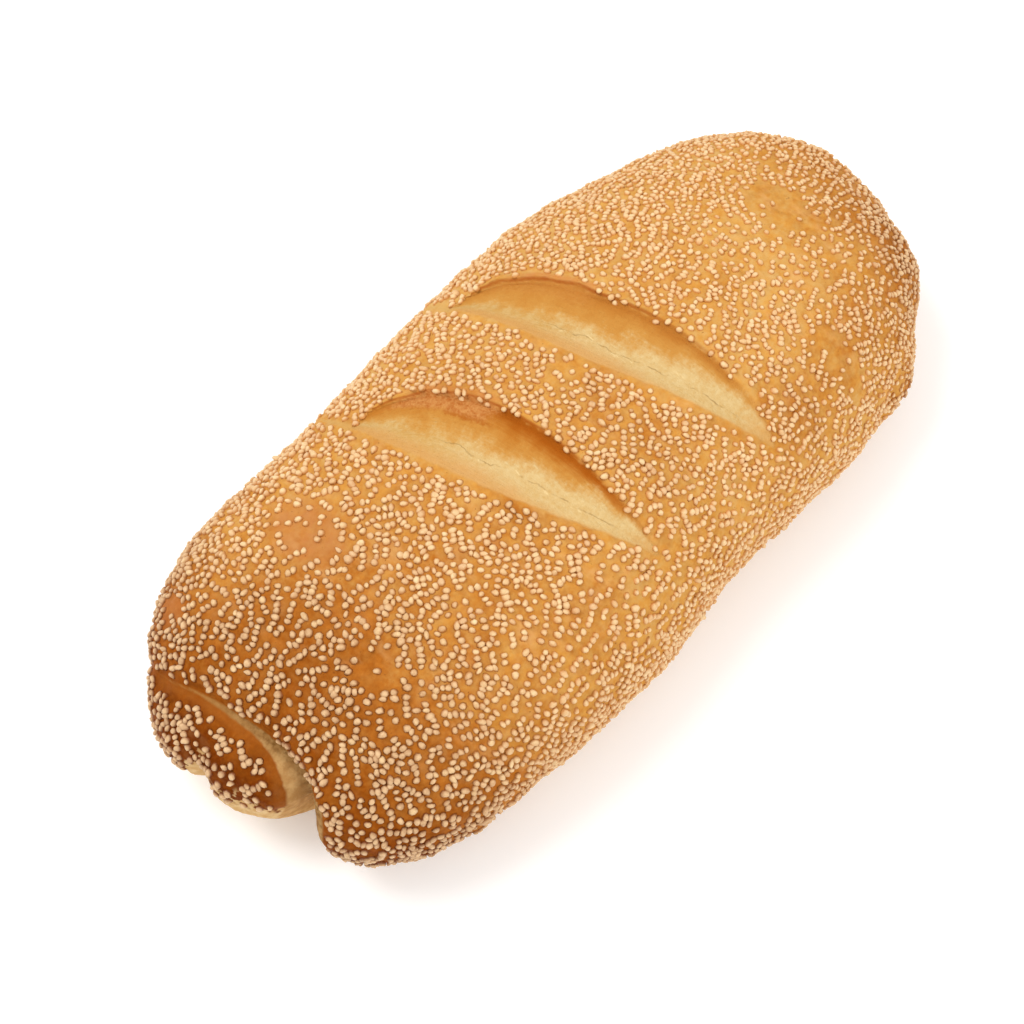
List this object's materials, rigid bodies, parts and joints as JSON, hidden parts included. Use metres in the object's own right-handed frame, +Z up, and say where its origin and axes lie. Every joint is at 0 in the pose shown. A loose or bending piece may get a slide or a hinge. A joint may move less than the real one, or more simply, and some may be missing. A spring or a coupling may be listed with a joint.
{
  "type": "sesame loaf",
  "caption": "Long oval bread loaf with a sesame-seed crust, slashes across its top, a fold at one end and a flat base.",
  "frame": {"origin": "on the flat base, under the middle of the loaf's box", "axes": "+X along the loaf, away from the end with the fold; +Y to the left flank; +Z up through the slashed top"},
  "size_m": [0.3108, 0.1446, 0.0797],
  "materials": {
    "crust": "baked golden-brown bread crust, matte with a faint sheen, pale cream where it is slashed",
    "seeds": "hulled sesame seeds, ivory to toasted gold, satin"
  },
  "bodies": {
    "root": {"loaf": "crust"}
  },
  "joints": []
}
